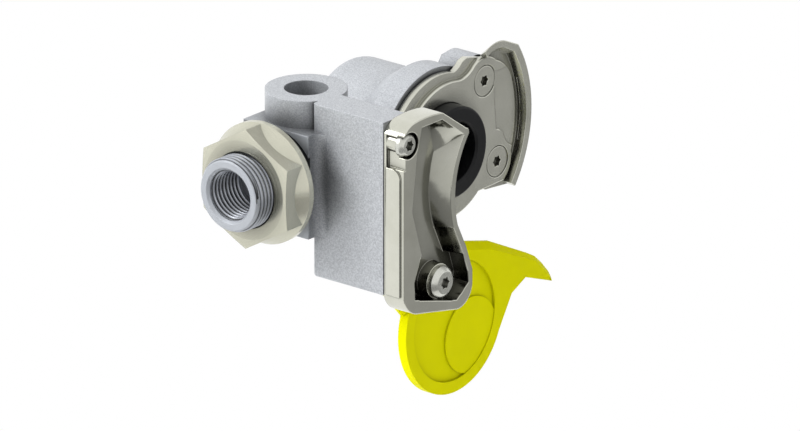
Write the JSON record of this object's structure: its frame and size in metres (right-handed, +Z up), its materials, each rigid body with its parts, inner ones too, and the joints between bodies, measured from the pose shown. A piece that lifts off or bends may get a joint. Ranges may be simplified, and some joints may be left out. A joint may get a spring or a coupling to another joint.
{
  "type": "air brake coupling",
  "caption": "Palm-type air brake coupling head with bulkhead stub, lock nut, claw plate, face seal, guide lug, line filter and a swinging lid.",
  "frame": {"origin": "on the port axis, at the front face of the port block, where the vehicle's bracket sits", "axes": "+X along the seal face's normal, the port opens towards -Y, +Z up along the mounting bore"},
  "size_m": [0.0669, 0.1187, 0.099],
  "materials": {
    "cast_alloy": "fine cast grain",
    "nut_plating": "plated, satin",
    "nickel": "nickel-plated, polished",
    "screw_steel": "bright",
    "seal_rubber": "smooth",
    "filter_plastic": "moulded",
    "gauze_steel": "woven wire",
    "lid_plastic": "moulded, semi-gloss"
  },
  "bodies": {
    "head": {"body_casting": "cast_alloy", "lock_nut": "nut_plating", "claw_plate": "nickel", "guide_lug": "nickel", "plate_screw_upper": "screw_steel", "plate_screw_lower": "screw_steel", "lug_screw": "screw_steel", "pivot_screw": "screw_steel", "pivot_washer": "screw_steel", "pivot_nut": "screw_steel", "lid_spring": "screw_steel", "dowel_pin": "screw_steel", "pivot_bush": "filter_plastic", "seal_ring": "seal_rubber", "plate_gasket": "seal_rubber", "filter_basket": "filter_plastic", "filter_gauze": "gauze_steel", "filter_spring": "gauze_steel", "spring_seat": "gauze_steel"},
    "lid": {"lid": "lid_plastic"}
  },
  "joints": [
    {"name": "lid_hinge", "type": "hinge", "parent": "head", "child": "lid", "pos_m": [0.0201, 0.0223, -0.028], "axis": [1, 0, 0], "range_deg": [-45, 73]}
  ]
}
